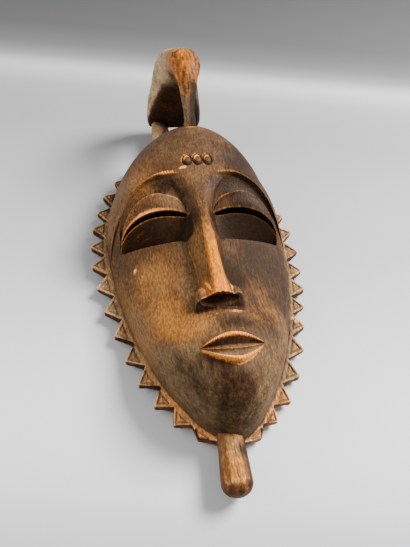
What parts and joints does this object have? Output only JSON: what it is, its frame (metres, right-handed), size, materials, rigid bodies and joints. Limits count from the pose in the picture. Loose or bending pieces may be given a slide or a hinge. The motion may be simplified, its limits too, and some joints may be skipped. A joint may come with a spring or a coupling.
{
  "type": "carved wooden face mask",
  "caption": "Long oval carved wood face mask with closed slit eyes, a narrow ridged nose, a toothed border, a long-beaked bird on the head and a round peg under the chin",
  "frame": {"origin": "on the surface that the mask lies on, below the middle of its bounding box", "axes": "+Z out of the face, +Y from the chin to the bird on the head, +X to the viewer's right as the face is looked at upright"},
  "size_m": [0.1694, 0.381, 0.1068],
  "materials": {
    "carved_wood": "hand-carved hardwood with a dark brown patina, worn to orange on the high places, satin"
  },
  "bodies": {
    "root": {"mask": "carved_wood"}
  },
  "joints": []
}
